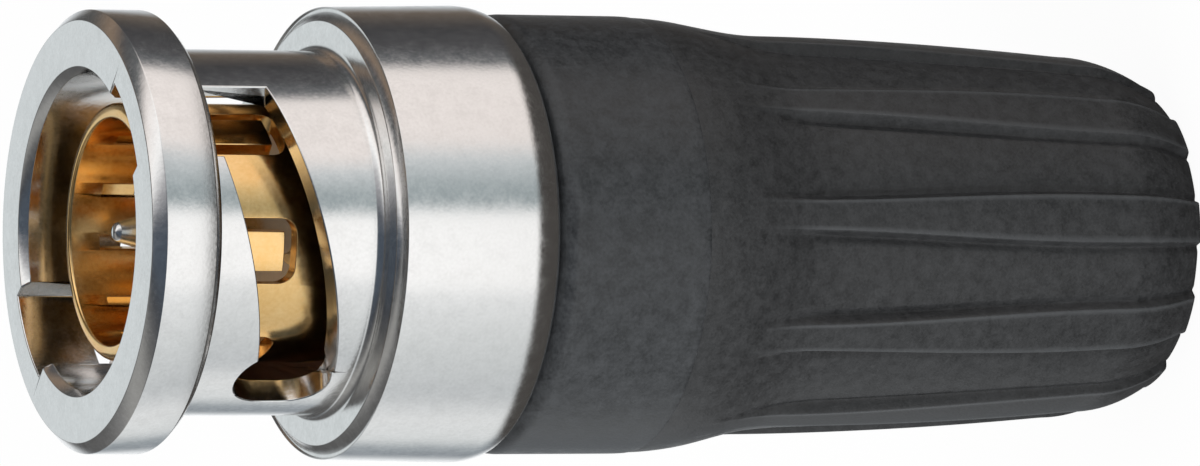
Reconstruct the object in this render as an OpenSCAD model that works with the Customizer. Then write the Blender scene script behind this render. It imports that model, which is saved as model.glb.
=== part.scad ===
// Rear-twist BNC cable plug, male, 75 ohm size.
// It stands on the boot's rear face with its mating end up, and its axis is Z.
// Distances named u run backwards from the mating face, and at(u) turns one into a height.

/* [Bayonet sleeve] */
// Diameter of the ring round the mouth
mouth_ring_d = 13.9; // [13:0.1:14.4]
// Length of the ring round the mouth
mouth_ring_len = 2.25; // [1.8:0.05:2.6]
// Chamfer on the mouth ring's front edge
mouth_chamfer = 0.35; // [0.1:0.05:0.6]
// Chamfer on the mouth ring's rear edge
mouth_back_chamfer = 0.25; // [0.1:0.05:0.5]
// Diameter of the neck that the slots are cut in
neck_d = 11.5; // [11.3:0.1:12]
// Length of the neck between the mouth ring and the collar
neck_len = 5.8; // [5.6:0.1:7]
// Fillet between the neck and the collar
neck_fillet = 0.3; // [0.1:0.05:0.5]
// How far the thick collar behind the neck stands over the plastic collar
collar_step = 0.25; // [0.1:0.05:0.6]
// Length of the collar up to the joint with the plastic
collar_len = 5.45; // [5:0.05:6.5]
// Chamfer on the collar's front edge
collar_chamfer = 0.55; // [0.2:0.05:0.7]
// Length of the collar's rounded rear edge
collar_round_len = 1; // [0.5:0.1:1.5]
// How far the rounded rear edge falls
collar_round_drop = 0.4; // [0.2:0.05:0.5]
// Diameter of the bore that the jack enters
socket_d = 9.86; // [9.8:0.02:10.2]
// Lead-in chamfer at the mouth of that bore
socket_lead = 0.25; // [0.1:0.05:0.4]
// Depth of that bore, down to the spring chamber
socket_depth = 11.2; // [11:0.1:12]
// Width of the shoulder between that bore and the spring chamber
shoulder_w = 0.67; // [0.6:0.01:0.8]
// Wall of the spigot round the spring chamber
spigot_wall = 0.75; // [0.65:0.05:0.9]

/* [Bayonet slots] */
// Radius that the entry grooves reach, past the studs of the jack
groove_r = 5.6; // [5.55:0.01:5.7]
// Width of an entry groove
entry_w = 3.2; // [2.6:0.1:3.4]
// Angle of an entry groove from the middle of its slot
entry_angle = 38; // [34:1:42]
// Width of the ramp that draws the studs in
ramp_w = 2.5; // [2.2:0.05:2.7]
// Slope of the ramp
ramp_angle = 14.2; // [12:0.2:16]
// Distance of the ramp's middle line from the mating face
ramp_u = 4.79; // [4.6:0.05:5]
// Width of the window where the entry groove meets the ramp
window_w = 3.4; // [3:0.1:4]
// Angle of that window from the middle of its slot
window_angle = 35; // [33:1:37]
// Angle of the locked position from the middle of the slot
lock_angle = 54; // [50:1:57]
// How far forward of the ramp the lock pocket reaches
lock_depth = 0.55; // [0.3:0.05:0.8]

/* [Outer contact] */
// Diameter of the outer contact
contact_d = 8.1; // [8:0.02:8.2]
// Wall of the outer contact
contact_wall = 0.5; // [0.4:0.05:0.6]
// Distance of its rim behind the mating face
contact_rim_u = 1.1; // [0.8:0.05:1.4]
// Chamfer on its rim
contact_chamfer = 0.18; // [0.1:0.01:0.22]
// Distance from its thicker seat to the face gasket
contact_step_len = 0.5; // [0.3:0.05:0.7]
// Diameter of its pressed seat in the body
contact_seat_d = 8.6; // [8.4:0.05:8.8]
// Number of spring tongues
tongue_count = 6; // [4:1:6]
// Width of a tongue
tongue_w = 1.25; // [1:0.05:1.4]
// Width of the slit round a tongue
slit_w = 0.4; // [0.3:0.05:0.5]
// Distance from the rim to the root of a tongue
tongue_root = 1.05; // [0.8:0.05:1.3]
// Length of a tongue
tongue_len = 3.25; // [2.8:0.05:3.6]
// Rounding of the slit's corners behind a tongue
slit_round = 0.5; // [0.2:0.05:0.6]
// Angle of the first tongue from the middle of a bayonet slot
tongue_phase = -8.3; // [-20:0.1:20]

/* [Centre pin] */
// Diameter of the pin
pin_d = 1.35; // [1.32:0.01:1.37]
// Diameter of the pin's tip
pin_tip_d = 0.65; // [0.4:0.05:0.8]
// Length of the taper behind the tip
pin_taper_len = 1.6; // [1:0.1:2]
// Distance of the tip behind the mating face
pin_tip_u = 1.2; // [1:0.05:1.6]
// Diameter of the pin inside the front insulator
pin_root_d = 2; // [1.8:0.05:2.2]
// Diameter of the shoulder that holds the pin between the insulators
pin_shoulder_d = 3; // [2.7:0.05:3.2]
// Diameter of the crimp barrel at the back
pin_barrel_d = 2.1; // [1.9:0.05:2.3]
// Length of the crimp barrel
pin_barrel_len = 5.2; // [4.6:0.1:5.8]
// Bore of the crimp barrel, for the cable's conductor
pin_bore_d = 1.1; // [0.9:0.05:1.2]
// Depth of that bore
pin_bore_len = 3.8; // [3:0.1:4.2]

/* [Body and insulators] */
// Depth of the front insulator's face behind the mating face
insulator_face_u = 7.2; // [6.8:0.1:7.6]
// Length of the boss in front of the body's flange
boss_len = 0.9; // [0.7:0.05:1.1]
// Thickness of the face gasket
gasket_t = 0.85; // [0.6:0.05:0.95]
// Thickness of the body's flange
flange_t = 0.8; // [0.6:0.05:1]
// Thickness of the web between the two insulators
web_t = 0.4; // [0.3:0.05:0.6]
// Distance from the flange's front face to the web
web_depth = 1; // [0.8:0.05:1.2]
// Diameter of the hole in the web
web_hole_d = 3.6; // [3.4:0.1:4]
// Diameter of the body behind its flange
barrel_d = 8.6; // [8.4:0.05:8.8]
// Length of the body behind its web
barrel_len = 5.8; // [5.4:0.1:6.4]
// Diameter of the rear insulator and of its bore in the body
rear_bore_d = 6.4; // [6:0.1:6.8]
// Length of the rear insulator
rear_insulator_len = 3.6; // [3.2:0.1:4]

/* [Crimp] */
// Outer diameter of the crimp stem
stem_d = 5.5; // [5.2:0.1:5.8]
// Bore of the crimp stem, for the cable's dielectric
stem_bore_d = 4.7; // [4.4:0.1:4.8]
// Length of the crimp stem behind the body
stem_len = 8.6; // [7.5:0.1:9]
// Number of gripping ridges on the stem
stem_ridges = 7; // [4:1:9]
// Height of a gripping ridge
stem_ridge_h = 0.15; // [0.1:0.01:0.2]
// Bore of the crimp ferrule, for the cable's jacket
ferrule_bore_d = 7.1; // [6.9:0.05:7.3]
// Wall of the crimp ferrule
ferrule_wall = 0.4; // [0.3:0.05:0.5]
// Length of the crimp ferrule
ferrule_len = 8; // [7:0.1:8.4]

/* [Spring pack] */
// Thickness of the washer in front of the flange
front_washer_t = 0.3; // [0.2:0.05:0.4]
// Length of the wave spring as fitted
spring_len = 2.6; // [2.4:0.1:3]
// Thickness of the spring's strip
spring_t = 0.2; // [0.15:0.01:0.25]
// Number of turns of the spring
spring_turns = 2.5; // [2:0.5:3]
// Waves in each turn of the spring
spring_waves = 3.5; // [2.5:1:4.5]
// Thickness of the thrust washer behind the spring
thrust_washer_t = 0.4; // [0.3:0.05:0.5]
// Thickness of the split retaining ring
snap_ring_t = 0.8; // [0.6:0.05:1]
// Radial width of the split retaining ring
snap_ring_w = 1.1; // [0.9:0.05:1.2]
// Gap between the ends of the split ring
snap_ring_gap = 2.2; // [1.5:0.1:3]
// How far the sleeve can be pushed forward against the spring
pull_travel = 1.1; // [0.9:0.05:1.2]

/* [Clutch collar] */
// Wall of the smooth plastic collar round the spigot
clutch_wall = 0.65; // [0.55:0.05:0.9]
// Length of the smooth plastic collar
clutch_len = 5.05; // [4.8:0.05:6]
// Rounding of its front edge
clutch_round = 0.25; // [0.1:0.05:0.4]
// Length over which its rear end draws in
clutch_ease_len = 0.6; // [0.4:0.1:1]
// How much its rear end draws in
clutch_ease_drop = 0.03; // [0.01:0.01:0.1]
// Height of the snap bead on the spigot
bead_h = 0.15; // [0.1:0.01:0.2]
// Length of the snap bead
bead_len = 0.8; // [0.6:0.05:1]
// Metal left behind the retaining ring's groove
spigot_land = 1.1; // [1:0.05:1.4]
// Number of driving dogs
dog_count = 6; // [3:1:8]
// Width of a driving dog
dog_w = 1.9; // [1.4:0.1:2.4]
// Length of a driving dog
dog_len = 0.8; // [0.6:0.05:0.9]
// Thickness of the collar's wall behind the spigot
clutch_web_t = 1.2; // [1:0.1:1.6]
// Wall of the collar's tube inside the boot
clutch_tube_wall = 0.9; // [0.8:0.05:1.1]
// Length of that tube behind the smooth collar
clutch_tube_len = 6.25; // [5.5:0.05:6.8]
// Room round the body inside the collar's tube
clutch_bore_gap = 0.4; // [0.3:0.05:0.5]

/* [Boot] */
// Length of the ribbed boot
boot_len = 18.35; // [17:0.05:20]
// How far the boot's front edge lies below the plastic collar
boot_step = 0.01; // [0:0.01:0.1]
// How far the boot narrows from its front edge to its waist
boot_waist_drop = 0.48; // [0.3:0.02:0.6]
// Length of the flare in front of the waist
boot_flare_len = 4.35; // [3.5:0.05:5.5]
// How far the boot narrows from its waist to its tail
boot_tail_drop = 0.56; // [0.4:0.02:0.7]
// Length of the rounded tail
boot_tail_len = 2.8; // [2:0.1:3.5]
// How far the tail narrows up to its rear face
boot_end_drop = 0.82; // [0.6:0.02:1]
// Rounding of the rear face's edge
boot_edge = 0.3; // [0.1:0.05:0.4]
// Number of gripping ribs
rib_count = 10; // [8:1:14]
// Width of a rib, as an angle
rib_angle = 14.6; // [10:0.2:18]
// Angle of the first rib from the middle of a bayonet slot
rib_phase = 6; // [0:0.5:30]
// Depth of the valleys at their deepest
valley_depth = 0.3; // [0.1:0.01:0.34]
// Depth of the valleys at the boot's end
valley_end_depth = 0.2; // [0.1:0.01:0.3]
// Distance from the boot's front edge to the start of the valleys
valley_start = 2.25; // [1.5:0.05:3]
// Distance from the boot's front edge to their deepest place
valley_middle = 6.25; // [5:0.05:7.5]
// Room round the crimp ferrule inside the boot
boot_chamber_gap = 0.65; // [0.5:0.05:0.8]
// Room behind the crimp stem inside the boot when the sleeve is pushed forward
boot_chamber_spare = 0.5; // [0.3:0.1:1]
// Diameter of the cable hole
cable_hole_d = 7.5; // [7.2:0.1:8]
// Chamfer round the cable hole
cable_hole_lead = 0.35; // [0.2:0.05:0.5]

/* [Fits] */
// Radial clearance between parts that turn or slide
run_gap = 0.08; // [0.06:0.01:0.1]
// Clearance between parts that are snapped together
snap_gap = 0.05; // [0.02:0.01:0.08]
// Open joint between the metal collar and the plastic collar
joint_gap = 0.1; // [0.05:0.01:0.2]

/* [Hidden] */
$fn = 96;
cut = 0.5; // how far a cutter runs past what it cuts
spring_steps_per_turn = 48;
boot_taper_power = 1.6; // bends the boot's taper behind its waist
boot_tail_power = 2; // bends the boot's tail

// Stations along the axis, measured backwards from the mating face
neck_end_u = mouth_ring_len + neck_len;
metal_end_u = neck_end_u + collar_len;
clutch_u = metal_end_u + joint_gap;
boot_u = clutch_u + clutch_len;
total_len = boot_u + boot_len;
flange_u = socket_depth + front_washer_t;
boss_u = flange_u - boss_len;
gasket_u = boss_u - gasket_t;
spring_u = flange_u + flange_t;
thrust_u = spring_u + spring_len;
snap_u = thrust_u + thrust_washer_t;
snap_end_u = snap_u + snap_ring_t;
spigot_end_u = snap_end_u + spigot_land;
web_u = flange_u + web_depth;
web_end_u = web_u + web_t;
rear_insulator_end_u = web_end_u + rear_insulator_len;
barrel_end_u = web_end_u + barrel_len;
stem_end_u = barrel_end_u + stem_len;
ferrule_end_u = barrel_end_u + ferrule_len;
clutch_floor_u = spigot_end_u + snap_gap;
clutch_web_end_u = clutch_floor_u + clutch_web_t;
clutch_tube_end_u = boot_u + clutch_tube_len;
bead_u = metal_end_u + bead_len;
chamber_end_u = stem_end_u + pull_travel + boot_chamber_spare;
flare_end_u = boot_u + boot_flare_len;
tail_u = total_len - boot_edge - boot_tail_len;

// Radii that build on each other from the bore outwards
socket_r = socket_d / 2;
chamber_r = socket_r + shoulder_w;
spigot_r = chamber_r + spigot_wall;
clutch_r = spigot_r + clutch_wall;
collar_r = clutch_r + collar_step;
boot_front_r = clutch_r - clutch_ease_drop - boot_step;
boot_waist_r = boot_front_r - boot_waist_drop;
boot_tail_r = boot_waist_r - boot_tail_drop;
boot_end_r = boot_tail_r - boot_end_drop;

// Radii of the inner pieces
neck_r = neck_d / 2;
contact_r = contact_d / 2;
contact_bore_r = contact_r - contact_wall;
contact_seat_r = contact_seat_d / 2;
boss_r = socket_r - run_gap;
flange_r = chamber_r - run_gap;
barrel_r = barrel_d / 2;
washer_bore_r = barrel_r + run_gap;
snap_groove_r = chamber_r + spigot_wall / 2;
clutch_bore_r = barrel_r + clutch_bore_gap;
clutch_tube_r = clutch_bore_r + clutch_tube_wall;
ferrule_r = ferrule_bore_d / 2 + ferrule_wall;
boot_chamber_r = ferrule_r + boot_chamber_gap;

// Height of a station that lies u behind the mating face
function at(u) = total_len - u;

// Part of an ellipse as [radius, u] points, from angle a0 to angle a1
function arc(r, u, half_r, half_u, a0, a1, steps) =
    [for (i = [0:steps]) let (a = a0 + (a1 - a0) * i / steps) [r + half_r * cos(a), u + half_u * sin(a)]];

// A turned solid from an outline of [radius, u] points
module turned(outline) {
    rotate_extrude() polygon([for (p = outline) [p[0], at(p[1])]]);
}

// A plain shaft between two stations
module shaft(r, from_u, to_u) {
    translate([0, 0, at(to_u)]) cylinder(r = r, h = to_u - from_u);
}

// A plain tube between two stations
module tube(r_out, r_in, from_u, to_u) {
    difference() {
        shaft(r_out, from_u, to_u);
        shaft(r_in, from_u - cut, to_u + cut);
    }
}

// A bar that points away from the axis along X, between two radii and two stations
module bar(width, r_in, r_out, from_u, to_u) {
    translate([r_in, -width / 2, at(to_u)]) cube([r_out - r_in, width, to_u - from_u]);
}

// A round hole or peg that points away from the axis along X
module radial_rod(r, r_in, r_out, u) {
    translate([r_in, 0, at(u)]) rotate([0, 90, 0]) cylinder(r = r, h = r_out - r_in);
}

// --- Bayonet sleeve ---------------------------------------------------------------------

// The middle of a bayonet slot faces -Y
slot_middle = 270;
ramp_rise = tan(ramp_angle);
slot_in_r = neck_r / 2;
wall_cut_r = neck_r + cut;
lock_x = -(socket_r + neck_r) / 2 * sin(lock_angle);
window_x = neck_r * sin(window_angle);
lock_ramp_u = ramp_u - ramp_rise * lock_x;
lock_front_u = lock_ramp_u - ramp_w / 2 / cos(ramp_angle) - lock_depth + ramp_w / 2;
lock_back_u = lock_ramp_u + ramp_w / 2 / cos(ramp_angle) - ramp_w / 2;

// A block in front of the ramp's rear edge, as tall as asked
module ramp_block(height) {
    translate([0, 0, at(ramp_u)]) rotate([0, -ramp_angle, 0])
        translate([-neck_d, -neck_d, -ramp_w / 2]) cube([2 * neck_d, neck_d, height]);
}

// The stretch of ramp from the window round to the lock pocket
module ramp_cutter() {
    intersection() {
        ramp_block(ramp_w);
        translate([lock_x, -neck_d, 0]) cube([window_x - lock_x, neck_d, total_len]);
    }
}

// The window where the entry groove opens into the ramp
module window_cutter() {
    intersection() {
        ramp_block(2 * neck_d);
        rotate([0, 0, slot_middle + window_angle])
            bar(window_w, slot_in_r, wall_cut_r, mouth_ring_len, mouth_ring_len + neck_len);
    }
}

// The pocket with round ends that the stud snaps forward into
module lock_cutter() {
    rotate([0, 0, slot_middle - lock_angle]) {
        radial_rod(ramp_w / 2, slot_in_r, wall_cut_r, lock_front_u);
        radial_rod(ramp_w / 2, slot_in_r, wall_cut_r, lock_back_u);
        bar(ramp_w, slot_in_r, wall_cut_r, lock_front_u, lock_back_u);
    }
}

// The groove inside the mouth ring that a stud of the jack enters by
module entry_cutter() {
    intersection() {
        shaft(groove_r, -cut, mouth_ring_len + cut);
        rotate([0, 0, slot_middle + entry_angle])
            bar(entry_w, slot_in_r, wall_cut_r, -2 * cut, mouth_ring_len + 2 * cut);
    }
}

module bayonet_slot() {
    entry_cutter();
    window_cutter();
    ramp_cutter();
    lock_cutter();
}

// A pocket in the spigot's end that a driving dog of the plastic collar fills
module dog_pocket() {
    bar(dog_w + 2 * snap_gap, neck_r, spigot_r + cut, spigot_end_u - dog_len - snap_gap, spigot_end_u + cut);
}

module bayonet_sleeve() {
    mouth_r = mouth_ring_d / 2;
    outline = concat(
        [[socket_r + socket_lead, 0], [mouth_r - mouth_chamfer, 0], [mouth_r, mouth_chamfer],
         [mouth_r, mouth_ring_len - mouth_back_chamfer], [mouth_r - mouth_back_chamfer, mouth_ring_len],
         [neck_r, mouth_ring_len]],
        arc(neck_r + neck_fillet, neck_end_u - neck_fillet, neck_fillet, neck_fillet, 180, 90, 4),
        [[collar_r - collar_chamfer, neck_end_u], [collar_r, neck_end_u + collar_chamfer]],
        arc(collar_r - collar_round_drop, metal_end_u - collar_round_len,
            collar_round_drop, collar_round_len, 0, 90, 6),
        [[spigot_r, metal_end_u], [spigot_r, bead_u], [spigot_r + bead_h, bead_u + bead_len / 2],
         [spigot_r, bead_u + bead_len], [spigot_r, spigot_end_u], [chamber_r, spigot_end_u],
         [chamber_r, snap_end_u], [snap_groove_r, snap_end_u], [snap_groove_r, snap_u],
         [chamber_r, snap_u], [chamber_r, socket_depth], [socket_r, socket_depth],
         [socket_r, socket_lead]]);
    color("gainsboro") difference() {
        turned(outline);
        for (side = [0, 180]) rotate([0, 0, side]) bayonet_slot();
        for (i = [0:dog_count - 1]) rotate([0, 0, i * 360 / dog_count]) dog_pocket();
    }
}

// --- Spring pack ------------------------------------------------------------------------

module front_washer() {
    color("silver") tube(flange_r, boss_r + run_gap, socket_depth, flange_u);
}

// The spring is one strip wound in turns whose crests nearly meet
spring_crest_gap = 0.05;
spring_pitch = (spring_len + spring_crest_gap) / (spring_turns + 1);
spring_wave_h = (spring_pitch - spring_t - spring_crest_gap) / 2;
spring_in_r = washer_bore_r + run_gap;
spring_out_r = flange_r - run_gap;
spring_steps = spring_steps_per_turn * spring_turns;

function spring_floor(i) =
    let (turn = i / spring_steps * spring_turns)
    at(thrust_u) + spring_pitch * turn + spring_wave_h * (1 - cos(360 * spring_waves * turn));

function spring_section(i) =
    let (a = 360 * spring_turns * i / spring_steps, low = spring_floor(i), high = low + spring_t)
    [for (p = [[spring_in_r, low], [spring_out_r, low], [spring_out_r, high], [spring_in_r, high]])
        [p[0] * cos(a), p[0] * sin(a), p[1]]];

module wave_spring() {
    points = [for (i = [0:spring_steps]) each spring_section(i)];
    sides = [for (i = [0:spring_steps - 1], k = [0:3]) each
        [[4 * i + k, 4 * i + 4 + k, 4 * i + (k + 1) % 4],
         [4 * i + 4 + k, 4 * i + 4 + (k + 1) % 4, 4 * i + (k + 1) % 4]]];
    last = 4 * spring_steps;
    ends = [[0, 1, 2, 3], [last + 3, last + 2, last + 1, last]];
    color("lightgray") polyhedron(points, concat(sides, ends));
}

module thrust_washer() {
    color("silver") tube(flange_r, washer_bore_r, thrust_u, snap_u);
}

// A split ring that snaps into the sleeve's groove and holds the spring pack in
module retaining_ring() {
    ring_r = snap_groove_r - snap_gap;
    color("dimgray") difference() {
        tube(ring_r, ring_r - snap_ring_w, snap_u, snap_end_u);
        bar(snap_ring_gap, 0, ring_r + cut, snap_u - cut, snap_end_u + cut);
    }
}

// --- Contact core -----------------------------------------------------------------------

// The slit round one spring tongue, which stays joined to the contact at its front
module tongue_slit() {
    root_u = contact_rim_u + tongue_root;
    tip_u = root_u + tongue_len;
    outer_w = tongue_w + 2 * slit_w;
    difference() {
        union() {
            bar(outer_w, 0, contact_r + cut, root_u, tip_u + slit_w - slit_round);
            bar(outer_w - 2 * slit_round, 0, contact_r + cut, root_u, tip_u + slit_w);
            for (side = [-1, 1]) translate([0, side * (outer_w / 2 - slit_round), 0])
                radial_rod(slit_round, 0, contact_r + cut, tip_u + slit_w - slit_round);
        }
        bar(tongue_w, -cut, contact_r + 2 * cut, root_u - cut, tip_u);
    }
}

module outer_contact() {
    step_u = gasket_u - contact_step_len;
    outline = [
        [contact_bore_r + contact_chamfer / 2, contact_rim_u], [contact_r - contact_chamfer, contact_rim_u],
        [contact_r, contact_rim_u + contact_chamfer], [contact_r, step_u],
        [contact_seat_r, step_u + contact_seat_r - contact_r], [contact_seat_r, web_u],
        [contact_bore_r, web_u], [contact_bore_r, contact_rim_u + contact_chamfer / 2]];
    color("gold") difference() {
        turned(outline);
        for (i = [0:tongue_count - 1])
            rotate([0, 0, slot_middle + tongue_phase + i * 360 / tongue_count]) tongue_slit();
    }
}

module face_gasket() {
    color("peru") tube(boss_r, contact_seat_r, gasket_u, boss_u);
}

module front_insulator() {
    color("ivory") tube(contact_bore_r, pin_root_d / 2, insulator_face_u, web_u);
}

module centre_pin() {
    pin_r = pin_d / 2;
    tip_r = pin_tip_d / 2;
    barrel_end = web_end_u + pin_barrel_len;
    color("gold") turned(concat(
        [[0, pin_tip_u]],
        arc(0, pin_tip_u + tip_r / 2, tip_r, tip_r / 2, -60, 0, 4),
        [[pin_r, pin_tip_u + pin_taper_len], [pin_r, insulator_face_u], [pin_root_d / 2, insulator_face_u],
         [pin_root_d / 2, web_u], [pin_shoulder_d / 2, web_u], [pin_shoulder_d / 2, web_end_u],
         [pin_barrel_d / 2, web_end_u], [pin_barrel_d / 2, barrel_end], [pin_bore_d / 2, barrel_end],
         [pin_bore_d / 2, barrel_end - pin_bore_len], [0, barrel_end - pin_bore_len - pin_bore_d / 2]]));
}

module rear_insulator() {
    color("ivory") tube(rear_bore_d / 2, pin_barrel_d / 2 + snap_gap, web_end_u, rear_insulator_end_u);
}

module connector_body() {
    color("silver") turned([
        [contact_seat_r, boss_u], [boss_r, boss_u], [boss_r, flange_u], [flange_r, flange_u],
        [flange_r, spring_u], [barrel_r, spring_u], [barrel_r, barrel_end_u],
        [rear_bore_d / 2, barrel_end_u], [rear_bore_d / 2, web_end_u], [web_hole_d / 2, web_end_u],
        [web_hole_d / 2, web_u], [contact_seat_r, web_u]]);
}

// A knurled tube, pressed in behind the rear insulator, that the cable's braid is crimped on
module crimp_stem() {
    stem_r = stem_d / 2;
    pitch = stem_len / (stem_ridges + 1);
    ridges = [for (i = [1:stem_ridges]) let (u = barrel_end_u + pitch * i) each
        [[stem_r, u - pitch / 2], [stem_r + stem_ridge_h, u - pitch / 4], [stem_r, u + pitch / 4]]];
    color("silver") turned(concat(
        [[stem_bore_d / 2, rear_insulator_end_u], [rear_bore_d / 2, rear_insulator_end_u],
         [rear_bore_d / 2, barrel_end_u], [stem_r, barrel_end_u]],
        ridges,
        [[stem_r, stem_end_u], [stem_bore_d / 2, stem_end_u]]));
}

module crimp_ferrule() {
    color("silver") tube(ferrule_r, ferrule_bore_d / 2, barrel_end_u, ferrule_end_u);
}

// --- Clutch collar and boot -------------------------------------------------------------

// A hard collar that snaps over the sleeve's spigot and turns it by its dogs
module clutch_collar() {
    bore_r = spigot_r + snap_gap;
    outline = concat(
        [[bore_r, clutch_u]],
        arc(clutch_r - clutch_round, clutch_u + clutch_round, clutch_round, clutch_round, -90, 0, 4),
        arc(clutch_r - clutch_ease_drop, boot_u - clutch_ease_len, clutch_ease_drop, clutch_ease_len, 0, 90, 4),
        [[clutch_tube_r, boot_u], [clutch_tube_r, clutch_tube_end_u], [clutch_bore_r, clutch_tube_end_u],
         [clutch_bore_r, clutch_floor_u], [bore_r, clutch_floor_u],
         [bore_r, bead_u + bead_len + snap_gap], [bore_r + bead_h, bead_u + bead_len / 2 + snap_gap],
         [bore_r + bead_h, bead_u + bead_len / 2 - snap_gap], [bore_r, bead_u - snap_gap]]);
    color("#3a3a3b") union() {
        turned(outline);
        intersection() {
            for (i = [0:dog_count - 1]) rotate([0, 0, i * 360 / dog_count])
                bar(dog_w, neck_r, clutch_r, spigot_end_u - dog_len, clutch_floor_u + snap_gap);
            tube(bore_r + snap_gap, chamber_r + snap_gap, spigot_end_u - dog_len - cut, clutch_floor_u + cut);
        }
    }
}

// Radius of the boot over its ribs: a flare, a waist that tapers, and a tail that rounds off
function boot_r(u) =
    u < flare_end_u
    ? boot_waist_r + boot_waist_drop * (1 + cos(180 * (u - boot_u) / boot_flare_len)) / 2
    : u < tail_u
    ? boot_waist_r - boot_tail_drop * pow((u - flare_end_u) / (tail_u - flare_end_u), boot_taper_power)
    : boot_tail_r - boot_end_drop * pow(min(1, (u - tail_u) / boot_tail_len), boot_tail_power);

// Depth of a valley between two ribs
function valley(u) = lookup(u, [
    [boot_u + valley_start, 0],
    [boot_u + valley_middle, valley_depth],
    [tail_u, valley_end_depth]]);

// Stations that the boot's curves are drawn through
boot_stations = [
    for (i = [0:7]) boot_u + boot_flare_len * i / 8,
    for (i = [0:5]) flare_end_u + (tail_u - flare_end_u) * i / 6,
    for (i = [0:6]) tail_u + boot_tail_len * i / 6];

// What is cut away between two ribs
module valley_cutter() {
    floor_line = [for (u = boot_stations) if (u > boot_u + valley_start) [boot_r(u) - valley(u), u]];
    start_u = boot_u + valley_start;
    rotate_extrude(angle = 360 / rib_count - rib_angle) polygon([for (p = concat(
        [[boot_r(start_u), start_u]],
        floor_line,
        [[boot_end_r - valley_end_depth, total_len + cut], [2 * clutch_r, total_len + cut],
         [2 * clutch_r, start_u]])) [p[0], at(p[1])]]);
}

module boot() {
    outline = concat(
        [[clutch_tube_r, boot_u]],
        [for (u = boot_stations) [boot_r(u), u]],
        arc(boot_end_r - boot_edge, total_len - boot_edge, boot_edge, boot_edge, 30, 90, 2),
        [[cable_hole_d / 2 + cable_hole_lead, total_len], [cable_hole_d / 2, total_len - cable_hole_lead],
         [cable_hole_d / 2, chamber_end_u], [boot_chamber_r, chamber_end_u],
         [boot_chamber_r, clutch_tube_end_u], [clutch_tube_r, clutch_tube_end_u]]);
    color("#333435") difference() {
        turned(outline);
        for (i = [0:rib_count - 1])
            rotate([0, 0, slot_middle + rib_phase + rib_angle / 2 + i * 360 / rib_count]) valley_cutter();
    }
}

bayonet_sleeve();
front_washer();
wave_spring();
thrust_washer();
retaining_ring();
outer_contact();
face_gasket();
front_insulator();
centre_pin();
rear_insulator();
connector_body();
crimp_stem();
crimp_ferrule();
clutch_collar();
boot();
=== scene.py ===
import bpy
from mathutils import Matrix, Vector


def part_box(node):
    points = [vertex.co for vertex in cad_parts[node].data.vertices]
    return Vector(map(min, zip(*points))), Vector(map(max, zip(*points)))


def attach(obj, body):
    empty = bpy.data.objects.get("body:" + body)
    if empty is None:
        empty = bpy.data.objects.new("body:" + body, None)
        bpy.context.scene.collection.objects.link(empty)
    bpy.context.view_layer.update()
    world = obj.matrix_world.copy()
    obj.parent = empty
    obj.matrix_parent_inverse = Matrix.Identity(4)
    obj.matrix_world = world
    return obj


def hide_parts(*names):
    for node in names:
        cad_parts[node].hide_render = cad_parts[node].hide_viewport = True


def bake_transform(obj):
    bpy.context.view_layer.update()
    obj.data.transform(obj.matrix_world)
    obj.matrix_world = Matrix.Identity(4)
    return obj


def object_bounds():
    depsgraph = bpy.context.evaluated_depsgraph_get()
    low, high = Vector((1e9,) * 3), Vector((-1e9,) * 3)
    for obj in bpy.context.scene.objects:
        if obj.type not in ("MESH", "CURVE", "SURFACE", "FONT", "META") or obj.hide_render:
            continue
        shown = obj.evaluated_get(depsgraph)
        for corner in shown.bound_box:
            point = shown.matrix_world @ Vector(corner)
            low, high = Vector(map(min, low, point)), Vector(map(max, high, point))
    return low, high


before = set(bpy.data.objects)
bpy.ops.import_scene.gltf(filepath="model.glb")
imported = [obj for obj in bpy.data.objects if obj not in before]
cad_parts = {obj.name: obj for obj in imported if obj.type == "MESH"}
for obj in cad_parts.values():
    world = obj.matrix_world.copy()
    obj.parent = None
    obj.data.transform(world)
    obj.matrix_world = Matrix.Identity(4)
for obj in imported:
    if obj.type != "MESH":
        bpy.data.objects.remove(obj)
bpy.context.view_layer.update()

import math

import bmesh
import bpy
from mathutils import Matrix, Vector

# --- Camera ------------------------------------------------------------------------------
# The plug stands on its boot, so the camera is rolled a quarter turn: the mating end is then at
# the left of the view, and the middle of one bayonet slot faces the camera.
MM = 0.001
part_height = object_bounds()[1].z / MM

def u_to_z(u):
    """Height in millimetres of a place that lies u behind the mating face."""
    return part_height - u

camera_distance = 300 * MM
camera_rise = math.radians(23.43)
orbit_height = 22.0 * MM
aim = Vector((0.06 * MM, 0, 19.1 * MM))
camera_roll = math.radians(89.65)
camera_side = -0.08 * MM
camera_data = bpy.data.cameras.new("camera")
camera_data.sensor_width = 36
camera_data.lens = 282.4
camera_data.clip_start = 0.01
camera = bpy.data.objects.new("camera", camera_data)
bpy.context.scene.collection.objects.link(camera)
camera.location = (camera_side, -camera_distance * math.cos(camera_rise),
                   orbit_height + camera_distance * math.sin(camera_rise))
looking = (aim - camera.location).to_track_quat("-Z", "Y").to_matrix().to_4x4()
camera.matrix_world = Matrix.Translation(camera.location) @ looking @ Matrix.Rotation(-camera_roll, 4, "Z")
bpy.context.scene.camera = camera

# --- Bayonet sleeve ----------------------------------------------------------------------
# The sleeve is turned from brass bar, milled with two bayonet slots and plated with satin
# nickel. The hard collar snaps over its spigot, so the boot turns it.

small_rounding = 0.2

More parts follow.
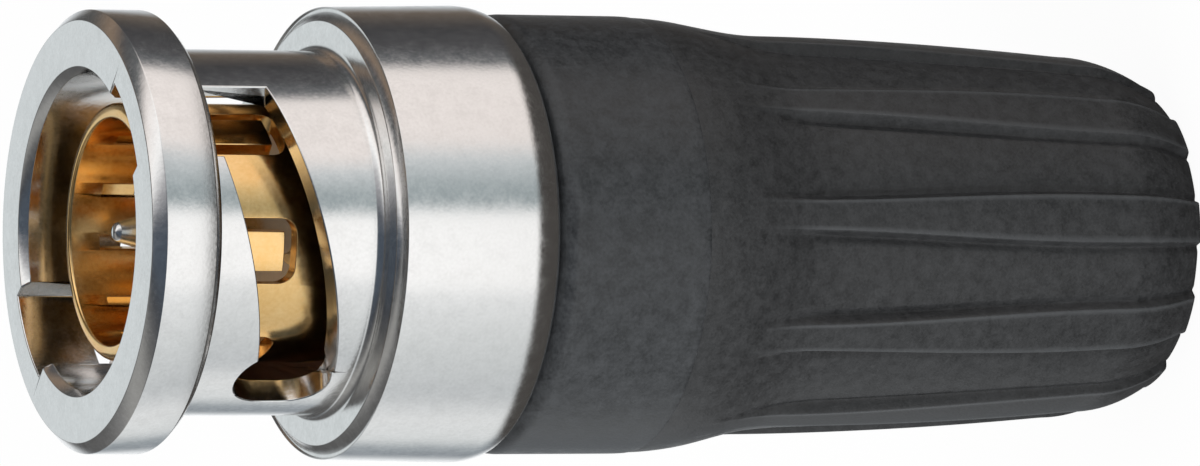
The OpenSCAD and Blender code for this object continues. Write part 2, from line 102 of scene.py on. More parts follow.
def rounded(corners):
    """An outline of (radius, u, rounding) corners as points, with an arc at each rounded corner."""
    points = []
    for i, (r, u, rounding) in enumerate(corners):
        here = Vector((r, u))
        steps = 2 if rounding < small_rounding else 6
        if rounding == 0:
            points.append(here)
            continue
        before = (Vector(corners[i - 1][:2]) - here).normalized()
        after = (Vector(corners[(i + 1) % len(corners)][:2]) - here).normalized()
        half = before.angle(after) / 2
        centre = here + (before + after).normalized() * rounding / math.sin(half)
        start = here + before * rounding / math.tan(half) - centre
        end = here + after * rounding / math.tan(half) - centre
        turn = start.angle_signed(end)
        points += [centre + Matrix.Rotation(-turn * k / steps, 2) @ start for k in range(steps + 1)]
    return points

def arc(r, u, half_r, half_u, start, end, steps=8):
    """Part of an ellipse as (radius, u, 0) corners."""
    angles = [math.radians(start + (end - start) * k / steps) for k in range(steps + 1)]
    return [(r + half_r * math.cos(a), u + half_u * math.sin(a), 0) for a in angles]

def lathe(outline, steps=192, closed=True):
    """A bmesh in millimetres, turned about Z from (radius, u) points."""
    bm = bmesh.new()
    chain = [bm.verts.new((r, 0, u_to_z(u))) for r, u in outline]
    pairs = list(zip(chain, chain[1:] + chain[:1]))
    edges = [bm.edges.new(pair) for pair in (pairs if closed else pairs[:-1])]
    bmesh.ops.spin(bm, geom=chain + edges, axis=(0, 0, 1), cent=(0, 0, 0), angle=2 * math.pi,
                   steps=steps, use_merge=True)
    bmesh.ops.remove_doubles(bm, verts=bm.verts, dist=1e-4)
    bmesh.ops.recalc_face_normals(bm, faces=bm.faces)
    return bm

def make_object(name, bm):
    """A new object from a bmesh, still in millimetres."""
    mesh = bpy.data.meshes.new(name)
    bm.to_mesh(mesh)
    bm.free()
    piece = bpy.data.objects.new(name, mesh)
    bpy.context.scene.collection.objects.link(piece)
    return piece

def apply_modifiers(piece):
    """Replaces a piece's mesh by what its modifiers make of it."""
    bpy.context.view_layer.update()
    result = bpy.data.meshes.new_from_object(piece.evaluated_get(bpy.context.evaluated_depsgraph_get()))
    piece.modifiers.clear()
    piece.data = result

def combine(piece, bm, operation):
    """Joins a bmesh to a piece or cuts it out, by the Boolean modifier's operation."""
    other = make_object("other", bm)
    both = piece.modifiers.new("both", "BOOLEAN")
    both.operation = operation
    both.solver = "EXACT"
    both.object = other
    apply_modifiers(piece)
    bpy.data.objects.remove(other)

def as_bmesh(piece):
    """A helper piece as a bmesh again, with its flat faces made whole."""
    bm = bmesh.new()
    bm.from_mesh(piece.data)
    bpy.data.objects.remove(piece)
    bmesh.ops.dissolve_limit(bm, angle_limit=math.radians(0.2), verts=bm.verts, edges=bm.edges)
    return bm

def soften(piece, width, angle=40):
    """Breaks the sharp edges of a piece and evens out its shading."""
    piece.data.shade_smooth()
    piece.data.set_sharp_from_angle(angle=math.radians(angle))
    if width > 0:
        bevel = piece.modifiers.new("edge_break", "BEVEL")
        bevel.width = width
        bevel.segments = 2
        bevel.limit_method = "ANGLE"
        bevel.angle_limit = math.radians(angle)
        bevel.use_clamp_overlap = False
        bevel.harden_normals = True
    else:
        even = piece.modifiers.new("even_normals", "WEIGHTED_NORMAL")
        even.weight = 100
        even.keep_sharp = True
    apply_modifiers(piece)

def tidy_mesh(piece):
    """Merges the tiny edges that cutting leaves, so that the edge break stays even."""
    bm = bmesh.new()
    bm.from_mesh(piece.data)
    slots = [v for v in bm.verts if u_to_z(neck_end - 0.4) < v.co.z < u_to_z(ring_end - 0.001)]
    bmesh.ops.remove_doubles(bm, verts=slots, dist=0.03)
    bmesh.ops.remove_doubles(bm, verts=bm.verts, dist=0.015)
    bm.to_mesh(piece.data)
    bm.free()

def place(piece, body, nodes, material):
    """Brings a piece to metres and ties it to the CAD model."""
    piece.data.transform(Matrix.Scale(MM, 4))
    piece.data.materials.clear()
    piece.data.materials.append(material)
    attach(piece, body)
    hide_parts(*nodes)

def block(size, centre):
    """A box-shaped bmesh with its size and centre in millimetres."""
    bm = bmesh.new()
    bmesh.ops.create_cube(bm, size=1, matrix=Matrix.Translation(centre) @ Matrix.Diagonal((*size, 1)))
    return bm

def turn_to(bm, azimuth):
    """Turns a bmesh about Z from the X direction to an azimuth in degrees."""
    bmesh.ops.rotate(bm, verts=bm.verts, cent=(0, 0, 0), matrix=Matrix.Rotation(math.radians(azimuth), 3, "Z"))
    return bm

def slice_off(bm, point, normal):
    """Cuts a bmesh with a plane, drops what lies in front of it and closes the cut."""
    geom = bm.verts[:] + bm.edges[:] + bm.faces[:]
    cut = bmesh.ops.bisect_plane(bm, geom=geom, plane_co=point, plane_no=normal, clear_outer=True)
    edges = [e for e in cut["geom_cut"] if isinstance(e, bmesh.types.BMEdge)]
    bmesh.ops.contextual_create(bm, geom=edges)
    bmesh.ops.recalc_face_normals(bm, faces=bm.faces)
    return bm

ring_r, neck_r, collar_r, socket_r, groove_r = 6.95, 5.75, 7.25, 4.93, 5.6
ring_end, neck_end, metal_end = 2.25, 8.05, 13.5
spigot_r, spigot_end, chamber_r, chamber_front = 6.35, 17.2, 5.6, 11.2
socket_lead, mouth_chamfer, back_chamfer, collar_chamfer = 0.25, 0.35, 0.25, 0.55
neck_fillet, collar_round_drop, collar_round_len, edge_break = 0.3, 0.4, 1, 0.05
bead_u, bead_len, bead_h = 14.3, 0.8, 0.15
snap_u, snap_end, snap_groove_r = 15.3, 16.1, 5.975
sleeve_outline = rounded([
    (socket_r, socket_lead, 0.05), (socket_r + socket_lead, 0, 0.05),
    (ring_r - mouth_chamfer, 0, 0.06), (ring_r, mouth_chamfer, 0.06),
    (ring_r, ring_end - back_chamfer, 0.06), (ring_r - back_chamfer, ring_end, 0.05),
    (neck_r, ring_end, 0), (neck_r, neck_end, neck_fillet),
    (collar_r - collar_chamfer, neck_end, 0.08), (collar_r, neck_end + collar_chamfer, 0.1)])
sleeve_outline += [Vector(p[:2]) for p in arc(
    collar_r - collar_round_drop, metal_end - collar_round_len, collar_round_drop, collar_round_len, 0, 90)]
sleeve_outline += rounded([
    (spigot_r, metal_end, 0), (spigot_r, bead_u, 0), (spigot_r + bead_h, bead_u + bead_len / 2, 0),
    (spigot_r, bead_u + bead_len, 0), (spigot_r, spigot_end, 0), (chamber_r, spigot_end, 0),
    (chamber_r, snap_end, 0), (snap_groove_r, snap_end, 0), (snap_groove_r, snap_u, 0),
    (chamber_r, snap_u, 0), (chamber_r, chamber_front, 0), (socket_r, chamber_front, 0)])
slot_middle = 270
ramp_u, ramp_w, ramp_angle = 4.79, 2.5, math.radians(14.2)
window_from, window_to, lock_angle, lock_depth = 24.5, 52, 54, 0.55
entry_w, entry_angle = 3.2, 38
dog_count, dog_w, dog_len = 6, 1.9, 0.8

def ramp_cutter():
    """The stretch of ramp between the window and the lock pocket: a sheared block."""
    low_x = -(socket_r + neck_r) / 2 * math.sin(math.radians(lock_angle))
    high_x = neck_r * math.sin(math.radians(window_to - 5))
    bm = block((high_x - low_x, 7, ramp_w / math.cos(ramp_angle)), ((low_x + high_x) / 2, -4.9, 0))
    for v in bm.verts:
        v.co.z += v.co.x * math.tan(ramp_angle) + u_to_z(ramp_u)
    return bm

def sector(radius, front, back, segments=192):
    """A solid cylinder between two places along the plug, from which sectors are cut."""
    bm = bmesh.new()
    bmesh.ops.create_cone(bm, cap_ends=True, segments=segments, radius1=radius, radius2=radius,
                          depth=back - front, matrix=Matrix.Translation((0, 0, u_to_z((front + back) / 2))))
    return bm

def window_cutter():
    """The window behind the mouth ring: its flanks are radial and its back is the ramp's."""
    bm = sector(neck_r + 1, ring_end, ring_end + 6)
    for angle, side in ((window_from, -1), (window_to, 1)):
        flank = math.radians(slot_middle + angle)
        slice_off(bm, Vector((0, 0, 0)), Vector((-math.sin(flank), math.cos(flank), 0)) * side)
    slice_off(bm, Vector((0, -3, 0)), Vector((0, 1, 0)))
    down = Vector((math.sin(ramp_angle), 0, -math.cos(ramp_angle)))
    return slice_off(bm, Vector((0, 0, u_to_z(ramp_u))) + down * ramp_w / 2, down)

def lock_cutter():
    """The pocket with round ends where the stud of the jack comes to rest."""
    lock_x = -(socket_r + neck_r) / 2 * math.sin(math.radians(lock_angle))
    middle = ramp_u - math.tan(ramp_angle) * lock_x
    reach = ramp_w / 2 / math.cos(ramp_angle) - ramp_w / 2
    front, back = middle - reach - lock_depth, middle + reach
    bm = bmesh.new()
    bmesh.ops.create_cone(bm, cap_ends=True, segments=48, radius1=ramp_w / 2, radius2=ramp_w / 2, depth=4,
                          matrix=Matrix.Rotation(math.pi / 2, 4, "Y"))
    for v in bm.verts:
        v.co += Vector((neck_r - 0.6, 0, u_to_z(front) if v.co.z > 1e-6 else u_to_z(back)))
    return turn_to(bm, slot_middle - lock_angle)

def slot_cutter():
    """Window, ramp and lock pocket as one clean shape."""
    slot = make_object("slot", window_cutter())
    combine(slot, ramp_cutter(), "UNION")
    combine(slot, lock_cutter(), "UNION")
    return as_bmesh(slot)

def entry_cutter():
    """The groove inside the mouth ring that a stud enters by."""
    bm = sector(groove_r, -0.5, ring_end + 0.1)
    for point, normal in (((0, entry_w / 2, 0), (0, 1, 0)), ((0, -entry_w / 2, 0), (0, -1, 0)),
                          ((3, 0, 0), (-1, 0, 0))):
        slice_off(bm, point, normal)
    return turn_to(bm, slot_middle + entry_angle)

def dog_pocket(k):
    """A pocket in the spigot's end that a driving dog of the collar fills."""
    return turn_to(block((2, dog_w + 0.1, dog_len + 1.05), (6.1, 0, u_to_z(spigot_end - dog_len / 2 + 0.475))),
                   360 / dog_count * k)

sleeve = make_object("bayonet_sleeve_turned", lathe(sleeve_outline))
for side in (0, 180):
    combine(sleeve, turn_to(entry_cutter(), side), "DIFFERENCE")
    combine(sleeve, turn_to(slot_cutter(), side), "DIFFERENCE")
for k in range(dog_count):
    combine(sleeve, dog_pocket(k), "DIFFERENCE")
tidy_mesh(sleeve)
soften(sleeve, edge_break)
for v in sleeve.data.vertices:
    v.co.z = min(v.co.z, part_height)

def effect_group(name, inputs, outputs, build):
    """A node group of float inputs, filled by build(nodes, links, source, sink)."""
    group = bpy.data.node_groups.new(name, "ShaderNodeTree")
    for label, value in inputs.items():
        socket = group.interface.new_socket(label, in_out="INPUT", socket_type="NodeSocketFloat")
        socket.default_value = value
    for label, kind in outputs.items():
        group.interface.new_socket(label, in_out="OUTPUT", socket_type=kind)
    source = group.nodes.new("NodeGroupInput")
    sink = group.nodes.new("NodeGroupOutput")
    build(group.nodes, group.links, source.outputs, sink.inputs)
    return group

def build_grain(nodes, links, source, sink):
    """Two sizes of noise on the piece's own coordinates, as a height and as a mask."""
    where = nodes.new("ShaderNodeTexCoord")
    total = nodes.new("ShaderNodeMath")
    total.operation = "ADD"
    for k, (label, detail) in enumerate((("Fine", 3), ("Broad", 2))):
        noise = nodes.new("ShaderNodeTexNoise")
        noise.inputs["Detail"].default_value = detail
        links.new(where.outputs["Object"], noise.inputs["Vector"])
        links.new(source[label], noise.inputs["Scale"])
        links.new(noise.outputs["Fac"], total.inputs[k])
    half = nodes.new("ShaderNodeMath")
    half.operation = "MULTIPLY"
    half.inputs[1].default_value = 0.5
    links.new(total.outputs[0], half.inputs[0])
    links.new(half.outputs[0], sink["Height"])
    mask = nodes.new("ShaderNodeMapRange")
    mask.inputs["From Min"].default_value = 0.35
    mask.inputs["From Max"].default_value = 0.65
    links.new(half.outputs[0], mask.inputs["Value"])
    links.new(mask.outputs["Result"], sink["Mask"])

grain_group = effect_group("surface_grain", {"Fine": 9000.0, "Broad": 1500.0},
                           {"Height": "NodeSocketFloat", "Mask": "NodeSocketFloat"}, build_grain)

MIX_A, MIX_B, MIX_RESULT = 6, 7, 2  # a Mix node's sockets for colours

def surface(name, colours, roughness, grain, bump, metallic=0.0, ior=1.5):
    """A material whose colour and roughness wander between two values with the grain."""
    material = bpy.data.materials.new(name)
    material.use_nodes = True
    nodes, links = material.node_tree.nodes, material.node_tree.links
    shader = nodes["Principled BSDF"]
    shader.inputs["Metallic"].default_value = metallic
    shader.inputs["IOR"].default_value = ior
    speckle = nodes.new("ShaderNodeGroup")
    speckle.node_tree = grain_group
    speckle.inputs["Fine"].default_value, speckle.inputs["Broad"].default_value = grain
    tint = nodes.new("ShaderNodeMix")
    tint.data_type = "RGBA"
    tint.inputs[MIX_A].default_value = (*colours[0], 1)
    tint.inputs[MIX_B].default_value = (*colours[1], 1)
    links.new(speckle.outputs["Mask"], tint.inputs[0])
    links.new(tint.outputs[MIX_RESULT], shader.inputs["Base Color"])
    gloss = nodes.new("ShaderNodeMapRange")
    gloss.inputs["To Min"].default_value, gloss.inputs["To Max"].default_value = roughness
    links.new(speckle.outputs["Mask"], gloss.inputs["Value"])
    links.new(gloss.outputs["Result"], shader.inputs["Roughness"])
    relief = nodes.new("ShaderNodeBump")
    relief.inputs["Distance"].default_value = bump * MM
    links.new(speckle.outputs["Height"], relief.inputs["Height"])
    links.new(relief.outputs["Normal"], shader.inputs["Normal"])
    return material

satin_nickel = surface("satin_nickel", ((0.72, 0.715, 0.705), (0.83, 0.825, 0.815)), (0.12, 0.21),
                       (9000, 2200), 0.003, metallic=1)
place(sleeve, "shell", ["bayonet_sleeve"], satin_nickel)

# --- Outer contact -----------------------------------------------------------------------
# A thin tube of spring bronze with a gold plating. Six slits free six tongues that press on
# the inside of the jack's barrel.
contact_r, contact_wall, rim_u, seat_r, seat_u, web_u = 4.05, 0.5, 1.1, 4.3, 9.25, 12.5
tongue_root, tongue_tip, tongue_w, slit_w, slit_round = 2.15, 5.4, 1.25, 0.4, 0.5
tongue_count, tongue_phase = 6, -8.3
contact = make_object("outer_contact_slotted", lathe(rounded([
    (contact_r - contact_wall, web_u, 0), (contact_r - contact_wall, rim_u, 0.1), (contact_r, rim_u, 0.3),
    (contact_r, seat_u, 0), (seat_r, seat_u + 0.25, 0), (seat_r, web_u, 0)]), steps=180))

def slit_cutter(azimuth):
    """The U-shaped slit round one tongue, open at its front where the tongue is rooted."""
    width = tongue_w + 2 * slit_w
    length = tongue_tip + slit_w - tongue_root
    bm = block((4, width, length), (contact_r, 0, u_to_z(tongue_root + length / 2)))
    back = [e for e in bm.edges if all(v.co.z < u_to_z(tongue_tip) for v in e.verts)
            and abs(e.verts[0].co.y - e.verts[1].co.y) < 1e-6]
    bmesh.ops.bevel(bm, geom=back, offset=slit_round, affect="EDGES", segments=8, profile=0.5, material=-1)
    slit = make_object("slit", bm)
    combine(slit, block((6, tongue_w, tongue_tip), (contact_r, 0, u_to_z(tongue_tip / 2))), "DIFFERENCE")
    return turn_to(as_bmesh(slit), azimuth)

for k in range(tongue_count):
    combine(contact, slit_cutter(slot_middle + tongue_phase + 360 / tongue_count * k), "DIFFERENCE")
soften(contact, 0.03)
gold_plate = surface("gold_plate", ((0.84, 0.52, 0.2), (0.93, 0.63, 0.29)), (0.13, 0.22),
                     (8000, 1500), 0.002, metallic=1)
place(contact, "core", ["outer_contact"], gold_plate)

# --- Centre pin --------------------------------------------------------------------------
# The pin is turned, plated with nickel and crimped on the cable's conductor. The insulators
# hold it by a shoulder.
pin_r, root_r, shoulder_r, barrel_r, pin_bore_r = 0.675, 1, 1.5, 1.05, 0.55
insulator_u, shoulder_end, barrel_end, pin_bore_end = 7.2, 12.9, 18.1, 14.3
pin_outline = [(0, 1.2), (0.16, 1.22), (0.27, 1.3), (0.325, 1.42), (0.55, 2.2), (0.65, 2.62), (pin_r, 2.8),
               (pin_r, insulator_u), (root_r, insulator_u), (root_r, web_u), (shoulder_r, web_u),
               (shoulder_r, shoulder_end), (barrel_r, shoulder_end), (barrel_r, barrel_end),
               (pin_bore_r, barrel_end), (pin_bore_r, pin_bore_end), (0, 13.8)]
pin = make_object("centre_pin_turned", lathe([Vector(p) for p in pin_outline], steps=64, closed=False))
soften(pin, 0)
place(pin, "core", ["centre_pin"], satin_nickel)

# --- Wave spring -------------------------------------------------------------------------
# One strip of spring steel, wound in waved turns. It lies between the core's flange and the
# thrust washer and flattens when the sleeve is pulled back.
spring_low, spring_high = [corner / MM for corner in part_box("wave_spring")]
spring_in, spring_out, strip_t, spring_turns, spring_waves = 4.46, 5.44, 0.2, 2.5, 3.5
crest_gap, spring_steps = 0.05, 240
spring_pitch = (spring_high.z - spring_low.z + crest_gap) / (spring_turns + 1)
wave_h = (spring_pitch - strip_t - crest_gap) / 2
bm = bmesh.new()
corners = [bm.verts.new((r, 0, spring_low.z + lift)) for r, lift in (
    (spring_in, 0), (spring_out, 0), (spring_out, strip_t), (spring_in, strip_t))]
edges = [bm.edges.new(pair) for pair in zip(corners, corners[1:] + corners[:1])]
bmesh.ops.spin(bm, geom=corners + edges, axis=(0, 0, 1), cent=(0, 0, 0), steps=spring_steps,
               angle=2 * math.pi * spring_turns, dvec=(0, 0, spring_pitch * spring_turns / spring_steps))
bmesh.ops.holes_fill(bm, edges=bm.edges, sides=4)
bmesh.ops.recalc_face_normals(bm, faces=bm.faces)
for v in bm.verts:
    part_turn = math.atan2(v.co.y, v.co.x) / (2 * math.pi) % 1 if abs(v.co.y) > 1e-4 or v.co.x < 0 else 0
    whole_turns = math.floor((v.co.z - spring_low.z) / spring_pitch - part_turn + 0.1)
    v.co.z += wave_h * (1 - math.cos(2 * math.pi * spring_waves * (part_turn + whole_turns)))
spring = make_object("wave_spring_wound", bm)
soften(spring, 0)
spring_steel = surface("spring_steel", ((0.52, 0.52, 0.53), (0.62, 0.62, 0.63)), (0.22, 0.35),
                       (7000, 1500), 0.003, metallic=1)
spring.data.transform(Matrix.Scale(MM, 4))
spring.data.materials.clear()
spring.data.materials.append(spring_steel)
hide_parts("wave_spring")
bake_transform(spring)

# --- Clutch collar -----------------------------------------------------------------------
# A hard moulded collar that snaps over the sleeve's spigot and turns it by six dogs. The boot
# is moulded over its tube.
clutch_u, boot_u = 13.6, 18.65
clutch_bore_r, bead_groove_r, floor_u = 6.4, 6.55, 17.25
tube_r, tube_bore_r, tube_end = 5.6, 4.7, 24.9
collar = make_object("clutch_collar_moulded", lathe(
    [Vector(p[:2]) for p in arc(6.45, clutch_u + 0.6, 0.55, 0.6, -90, 0, 8)]
    + [Vector(p[:2]) for p in arc(6.97, boot_u - 0.6, 0.03, 0.6, 0, 90, 6)]
    + [Vector(p) for p in (
        (tube_r, boot_u), (tube_r, tube_end), (tube_bore_r, tube_end), (tube_bore_r, floor_u),
        (clutch_bore_r, floor_u), (clutch_bore_r, 15.15), (bead_groove_r, 14.75),
        (bead_groove_r, 14.65), (clutch_bore_r, 14.25), (clutch_bore_r, clutch_u))]))
for k in range(dog_count):
    dog = block((0.78, dog_w, dog_len + 0.1), (6.04, 0, u_to_z(spigot_end - dog_len / 2 + 0.05)))
    combine(collar, turn_to(dog, 360 / dog_count * k), "UNION")
soften(collar, 0)
collar_plastic = surface("collar_plastic", ((0.014, 0.0152, 0.0165), (0.036, 0.0385, 0.0415)),
                         (0.34, 0.5), (9000, 2200), 0.015)
place(collar, "shell", ["clutch_collar"], collar_plastic)

# --- Boot --------------------------------------------------------------------------------
# A soft moulded boot with ten low ribs for the fingers. It has a hole for the cable in its flat
# rear face.
rib_count, rib_phase = 10, math.radians(slot_middle + 6)
flank_w, groove_w, groove_depth = 2.0, 2.6, 0.1
flare_end, tail_u, tail_len, edge = 23.0, 33.9, 2.8, 0.3
hole_r, ferrule_room_r, ferrule_room_end, boot_end = 3.75, 4.6, 28.9, 37.0

def boot_radius(u):
    """Radius of the boot over its ribs."""
    if u < flare_end:
        return 6.72 + 0.24 * math.cos(math.pi * (u - boot_u) / (flare_end - boot_u))
    if u < tail_u:
        return 6.48 - 0.56 * ((u - flare_end) / (tail_u - flare_end)) ** 1.6
    return 5.92 - 0.82 * min(1, (u - tail_u) / tail_len) ** 2

def smooth(x):
    """A soft step from 0 to 1."""
    x = min(1, max(0, x))
    return x * x * (3 - 2 * x)

def valley_depth(u):
    """How far the ground between two ribs lies below them."""
    return 0.3 * smooth((u - 20.1) / 4.2) - 0.1 * smooth((u - 25) / 9)

def rib_flank(u, share):
    """Where a share of the way from a rib's crest to the middle of a valley lies, and how deep."""
    crest = 3.9 + 3.2 * smooth((u - 22) / 11)
    foot = crest + flank_w
    stops = ((0, 0), (0.24, crest), (0.6, foot), (0.76, foot + groove_w), (1, 180 / rib_count))
    for (s0, a0), (s1, a1) in zip(stops, stops[1:]):
        if share <= s1 + 1e-6:
            angle = a0 + (a1 - a0) * (share - s0) / (s1 - s0)
            break
    fade = valley_depth(u) / 0.3
    fall = (valley_depth(u) + groove_depth * fade) * smooth((angle - crest) / flank_w)
    return math.radians(angle), fall - groove_depth * fade * smooth((angle - crest - flank_w) / groove_w)

outer_stations = [boot_u + (part_height - edge - boot_u) * k / 72 for k in range(73)]
boot_outline = [Vector((boot_radius(u), u)) for u in outer_stations]
boot_outline += [Vector(p[:2]) for p in arc(5.1 - edge, part_height - edge, edge, edge, 15, 90, 4)]
boot_outline += [Vector(p) for p in (
    (4.1, boot_end), (hole_r, 36.65), (hole_r, ferrule_room_end), (ferrule_room_r, ferrule_room_end),
    (ferrule_room_r, tube_end), (tube_r, tube_end), (tube_r, boot_u))]
bm = lathe(boot_outline, steps=rib_count * 50)
pitch = 2 * math.pi / rib_count
# Painted highlight: this layer holds a mask for a lighter colour along the crest edges of the ribs.
painted_crest_highlight = bm.verts.layers.float.new("painted_crest_highlight")
for v in bm.verts:
    u = part_height - v.co.z
    radius = math.hypot(v.co.x, v.co.y)
    if radius > 4.2 and u > boot_u + 0.01 and radius > boot_radius(u) - 0.35:
        angle = math.atan2(v.co.y, v.co.x)
        rib = rib_phase + round((angle - rib_phase) / pitch) * pitch
        share = abs(angle - rib) / (pitch / 2)
        off, fall = rib_flank(u, share)
        v[painted_crest_highlight] = max(0, 0.7 - abs(share - 0.24) / 0.08) * min(1, valley_depth(u) / 0.2)
        angle = rib + math.copysign(off, angle - rib)
        v.co.x = (radius - fall) * math.cos(angle)
        v.co.y = (radius - fall) * math.sin(angle)
boot = make_object("boot_moulded", bm)
soften(boot, 0)
boot_rubber = surface("boot_rubber", ((0.014, 0.0145, 0.0152), (0.031, 0.032, 0.0335)), (0.36, 0.5),
                      (11000, 2600), 0.015, ior=1.47)
nodes, links = boot_rubber.node_tree.nodes, boot_rubber.node_tree.links
# Mixes the painted crest highlight, a lighter grey, into the rubber's colour along the crest edges.
painted_highlight_attribute = nodes.new("ShaderNodeAttribute")
painted_highlight_attribute.attribute_name = "painted_crest_highlight"
painted_highlight_tint = nodes.new("ShaderNodeMix")
painted_highlight_tint.data_type = "RGBA"
painted_highlight_tint.inputs[MIX_B].default_value = (0.066, 0.07, 0.074, 1)
base = nodes["Principled BSDF"].inputs["Base Color"]
links.new(painted_highlight_attribute.outputs["Fac"], painted_highlight_tint.inputs[0])
links.new(base.links[0].from_socket, painted_highlight_tint.inputs[MIX_A])
links.new(painted_highlight_tint.outputs[MIX_RESULT], base)
place(boot, "shell", ["boot"], boot_rubber)

# --- Inner pieces ------------------------------------------------------------------------
# The pieces inside the plug keep their CAD form and only need their finish: plated body, stem
# and ferrule, ivory insulators, spring steel washers and snap ring, and a silicone gasket.
white_insulator = surface("white_insulator", ((0.58, 0.46, 0.33), (0.66, 0.54, 0.4)), (0.4, 0.5),
                          (5000, 900), 0.005)
silicone = surface("silicone", ((0.36, 0.13, 0.06), (0.42, 0.17, 0.08)), (0.45, 0.55),
                   (5000, 900), 0.005, ior=1.41)
inner_finishes = {
    "connector_body": satin_nickel, "crimp_stem": satin_nickel, "crimp_ferrule": satin_nickel,
    "front_insulator": white_insulator, "rear_insulator": white_insulator, "face_gasket": silicone,
    "front_washer": spring_steel, "thrust_washer": spring_steel,
    "retaining_ring": spring_steel}
for node, material in inner_finishes.items():
    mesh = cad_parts[node].data
    mesh.materials.clear()
    mesh.materials.append(material)

# --- Floor and studio --------------------------------------------------------------------
# A plain white floor and soft light from all round. The metal mirrors a studio of light and
# dark cards, which is drawn as bands round the horizon of the world.
bm = bmesh.new()
bmesh.ops.create_grid(bm, x_segments=1, y_segments=1, size=2)
floor = make_object("floor", bm)
floor_glow = 0.94
floor_white = bpy.data.materials.new("floor_white")
floor_white.use_nodes = True
nodes, links = floor_white.node_tree.nodes, floor_white.node_tree.links
nodes.remove(nodes["Principled BSDF"])
chalk = nodes.new("ShaderNodeBsdfDiffuse")
chalk.inputs["Color"].default_value = (0.85, 0.85, 0.85, 1)
glow = nodes.new("ShaderNodeEmission")
glow.inputs["Strength"].default_value = 1
seen = nodes.new("ShaderNodeLightPath")
mirrored = nodes.new("ShaderNodeMath")
mirrored.operation = "MAXIMUM"
links.new(seen.outputs["Is Glossy Ray"], mirrored.inputs[0])
links.new(seen.outputs["Is Transmission Ray"], mirrored.inputs[1])
any_ray = nodes.new("ShaderNodeMath")
any_ray.operation = "MAXIMUM"
links.new(seen.outputs["Is Camera Ray"], any_ray.inputs[0])
links.new(mirrored.outputs[0], any_ray.inputs[1])
share = nodes.new("ShaderNodeMath")
share.operation = "MULTIPLY"
share.inputs[1].default_value = floor_glow
blend = nodes.new("ShaderNodeMixShader")
links.new(any_ray.outputs[0], share.inputs[0])
links.new(share.outputs[0], blend.inputs[0])
links.new(chalk.outputs[0], blend.inputs[1])
links.new(glow.outputs[0], blend.inputs[2])
links.new(blend.outputs[0], nodes["Material Output"].inputs["Surface"])
floor.data.materials.append(floor_white)
floor.visible_glossy = False

world = bpy.data.worlds.new("studio")
bpy.context.scene.world = world
world.use_nodes = True
world.cycles.sampling_method = "NONE"
nodes, links = world.node_tree.nodes, world.node_tree.links
background = nodes["Background"]
where = nodes.new("ShaderNodeTexCoord")
parts = nodes.new("ShaderNodeSeparateXYZ")
links.new(where.outputs["Generated"], parts.inputs[0])

def math_node(operation, *values):
    """A Math node of the world, whose inputs are sockets or numbers."""
    node = nodes.new("ShaderNodeMath")
    node.operation = operation
    for k, value in enumerate(values):
        if isinstance(value, (int, float)):
            node.inputs[k].default_value = value
        else:
            links.new(value, node.inputs[k])
    return node.outputs[0]

def card_ramp(value, stops):
    """A colour ramp through (place, colour) stops."""
    ramp = nodes.new("ShaderNodeValToRGB")
    links.new(value, ramp.inputs[0])
    elements = ramp.color_ramp.elements
    while len(elements) < len(stops):
        elements.new(0.5)
    for element, (at, colour) in zip(elements, stops):
        element.position = at
        element.color = (*colour, 1)
    return ramp.outputs["Color"]

def mixed(amount, a, b):
    """A colour between two colours of the world."""
    node = nodes.new("ShaderNodeMix")
    node.data_type = "RGBA"
    links.new(amount, node.inputs[0])
    links.new(a, node.inputs[MIX_A])
    links.new(b, node.inputs[MIX_B])
    return node.outputs[MIX_RESULT]

def turn(degrees):
    """Place on a card ramp of an angle about the plug, counted from the camera's side."""
    return (degrees + 180) / 360

azimuth = math_node("ARCTAN2", math_node("MULTIPLY", parts.outputs[0], -1),
                    math_node("MULTIPLY", parts.outputs[1], -1))
around = math_node("MULTIPLY_ADD", azimuth, 1 / (2 * math.pi), 0.5)
brown, pink, white = (0.16, 0.13, 0.105), (1.02, 0.95, 0.92), (1.2, 1.2, 1.2)
pale, teal, black, blue_black = (0.72, 0.76, 0.78), (0.42, 0.48, 0.5), (0.06, 0.06, 0.063), (0.08, 0.1, 0.13)
low_cards = card_ramp(around, [
    (turn(-180), (1.15, 1.17, 1.2)), (turn(-166), (0.6, 0.63, 0.65)), (turn(-152), brown), (turn(-128), black),
    (turn(-108), (0.09, 0.09, 0.095)), (turn(-97), (0.16, 0.17, 0.18)), (turn(-90), pink), (turn(-48), pink),
    (turn(-38), pale), (turn(-24), teal), (turn(-16), (0.4, 0.46, 0.48)), (turn(-9), white), (turn(24), white),
    (turn(34), (0.95, 0.97, 0.98)), (turn(60), (0.77, 0.8, 0.81)), (turn(88), (0.64, 0.67, 0.69)),
    (turn(108), (0.9, 0.92, 0.93)), (turn(128), (0.82, 0.85, 0.86)), (turn(140), (0.38, 0.42, 0.45)),
    (turn(152), (0.28, 0.31, 0.34)), (turn(166), (0.9, 0.93, 0.95)), (turn(180), (1.15, 1.17, 1.2))])
high_cards = card_ramp(around, [
    (turn(-180), black), (turn(-150), (0.1, 0.1, 0.1)), (turn(-136), (0.3, 0.22, 0.16)),
    (turn(-124), (0.09, 0.09, 0.095)), (turn(-106), (0.12, 0.13, 0.135)), (turn(-92), pink),
    (turn(-58), white), (turn(-34), (0.5, 0.5, 0.52)), (turn(-12), (0.12, 0.13, 0.15)),
    (turn(0), blue_black), (turn(34), blue_black), (turn(60), (0.07, 0.075, 0.085)),
    (turn(82), (0.16, 0.16, 0.16)), (turn(98), (0.34, 0.34, 0.33)), (turn(112), (0.36, 0.36, 0.35)),
    (turn(126), (0.22, 0.22, 0.22)), (turn(138), (0.14, 0.14, 0.14)), (turn(180), black)])
rise = nodes.new("ShaderNodeMapRange")
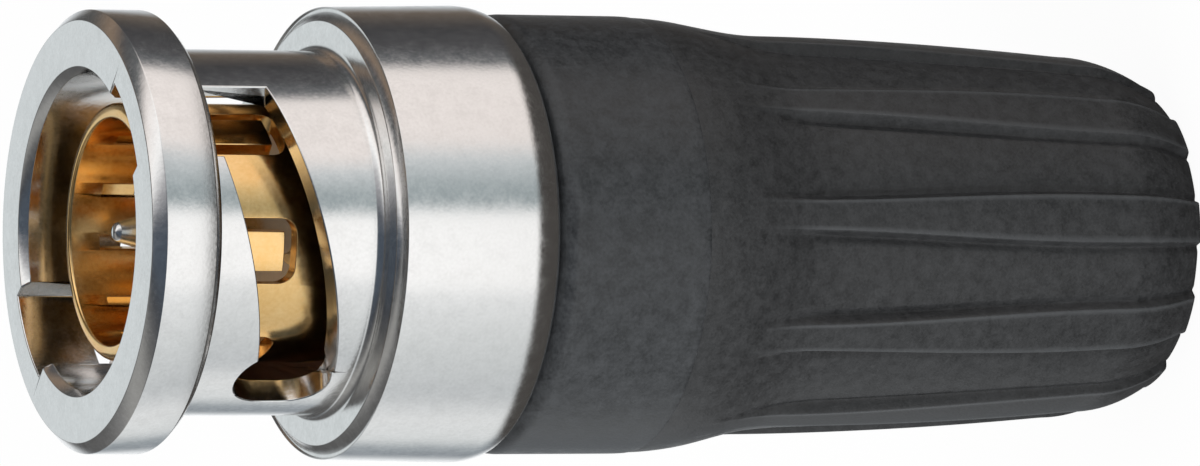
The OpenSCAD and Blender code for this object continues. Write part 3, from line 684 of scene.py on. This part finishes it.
rise.interpolation_type = "SMOOTHSTEP"
rise.inputs["From Min"].default_value = -0.14
rise.inputs["From Max"].default_value = 0.06
links.new(parts.outputs[2], rise.inputs["Value"])
back_y, back_z, back_card_edges = 0.9175, 0.3976, (26, 14)
back_card = nodes.new("ShaderNodeMapRange")
back_card.interpolation_type = "SMOOTHSTEP"
for label, degrees in zip(("From Min", "From Max"), back_card_edges):
    back_card.inputs[label].default_value = math.cos(math.radians(degrees))
towards_back = math_node("ADD", math_node("MULTIPLY", parts.outputs[1], back_y),
                         math_node("MULTIPLY", parts.outputs[2], back_z))
links.new(towards_back, back_card.inputs["Value"])
cool = nodes.new("ShaderNodeRGB")
cool.outputs[0].default_value = (0.74, 0.79, 0.81, 1)
foot = nodes.new("ShaderNodeMapRange")
foot.interpolation_type = "SMOOTHSTEP"
foot.inputs["From Min"].default_value = -0.45
foot.inputs["From Max"].default_value = -0.57
links.new(parts.outputs[2], foot.inputs["Value"])
table = nodes.new("ShaderNodeRGB")
table.outputs[0].default_value = (0.075, 0.07, 0.066, 1)
studio = mixed(back_card.outputs[0], mixed(rise.outputs[0], low_cards, high_cards), cool.outputs[0])
studio = mixed(foot.outputs[0], studio, table.outputs[0])
rays = nodes.new("ShaderNodeLightPath")
plain = nodes.new("ShaderNodeRGB")
plain.outputs[0].default_value = (0.8, 0.8, 0.8, 1)
links.new(mixed(rays.outputs["Is Glossy Ray"], plain.outputs[0], studio), background.inputs["Color"])

def softbox(name, place_mm, size_mm, watts):
    """A square area lamp that faces the middle of the plug."""
    data = bpy.data.lights.new(name, "AREA")
    data.size = size_mm * MM
    data.energy = watts
    lamp = bpy.data.objects.new(name, data)
    bpy.context.scene.collection.objects.link(lamp)
    lamp.location = Vector(place_mm) * MM
    lamp.rotation_euler = (aim - lamp.location).to_track_quat("-Z", "Y").to_euler()
    lamp.visible_glossy = False

softbox("key", (-260, -190, 110), 200, 1.1)
softbox("fill", (250, -200, 180), 160, 0.2)
bpy.context.scene.view_settings.view_transform = "Standard"
